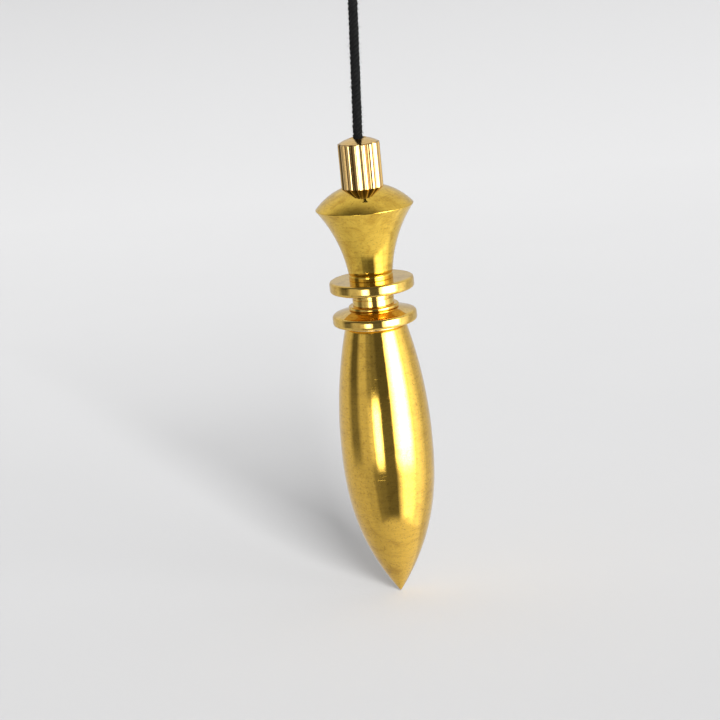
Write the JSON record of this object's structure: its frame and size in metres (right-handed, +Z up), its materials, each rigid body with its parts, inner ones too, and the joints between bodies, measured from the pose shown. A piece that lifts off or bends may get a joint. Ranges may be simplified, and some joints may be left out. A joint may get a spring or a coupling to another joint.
{
  "type": "plumb bob",
  "caption": "Turned brass plumb bob with a pointed torpedo body, two collars, a flared head and a fluted cap, hanging on a black cotton cord.",
  "frame": {"origin": "the bearing point inside the top of the hanging loop, where a hook, nail or finger holds the bob up", "axes": "+Z up, parallel to the bob's axis; +X to the right seen from the front; +Y away from the viewer. The bob's axis lies 1.7 mm to the -X side of the origin, because the cord leans by about 3 degrees"},
  "size_m": [0.0184, 0.0184, 0.136],
  "materials": {
    "polished_brass": "polished, with fine turning marks and light tarnish towards the point",
    "collar_brass": "polished",
    "satin_brass": "satin, brushed round the axis",
    "cap_brass": "bright, fluted, slightly pinker than the rest",
    "pale_brass": "satin",
    "thread_brass": "cut thread, dull",
    "black_cotton": "twisted cotton, slightly fuzzy"
  },
  "bodies": {
    "grip": {"hang_loop": "black_cotton"},
    "knot": {"end_knot": "black_cotton"},
    "line": {"cord": "black_cotton"},
    "swivel": {"stop_knot": "black_cotton"},
    "cap": {"cord_cap": "cap_brass"},
    "upper": {"head": "satin_brass", "cap_nipple": "thread_brass", "upper_collar": "collar_brass", "neck_stud": "thread_brass", "neck_sleeve": "collar_brass", "neck_ring": "collar_brass", "lower_collar": "collar_brass"},
    "washer": {"seat_washer": "pale_brass"},
    "bob": {"bob_body": "polished_brass"}
  },
  "joints": [
    {"name": "swing_side", "type": "hinge", "parent": "grip", "child": "knot", "pos_m": [0, 0, -0.0153], "axis": [0, 1, 0], "range_deg": [-70, 70]},
    {"name": "swing_fore", "type": "hinge", "parent": "knot", "child": "line", "pos_m": [0, 0, -0.0153], "axis": [1, 0, 0], "range_deg": [-70, 70]},
    {"name": "spin", "type": "hinge", "parent": "line", "child": "swivel", "pos_m": [-0.0017, 0, -0.0509], "axis": [0, 0, 1], "continuous": true},
    {"name": "cap_turn", "type": "hinge", "parent": "swivel", "child": "cap", "pos_m": [-0.0017, 0, -0.0509], "axis": [0, 0, 1], "range_deg": [0, 1620]},
    {"name": "head_drop", "type": "slide", "parent": "swivel", "child": "upper", "axis": [0, 0, -1], "range_m": [0, 0.0045]},
    {"name": "body_drop", "type": "slide", "parent": "upper", "child": "washer", "axis": [0, 0, -1], "range_m": [0, 0.0055]},
    {"name": "body_turn", "type": "hinge", "parent": "washer", "child": "bob", "pos_m": [-0.0017, 0, -0.0822], "axis": [0, 0, -1], "range_deg": [0, 1980]}
  ],
  "couplings": [
    {"joint": "cap_turn", "follows": "head_drop", "rad_per_m": 6283.2},
    {"joint": "body_turn", "follows": "body_drop", "rad_per_m": 6283.2}
  ]
}
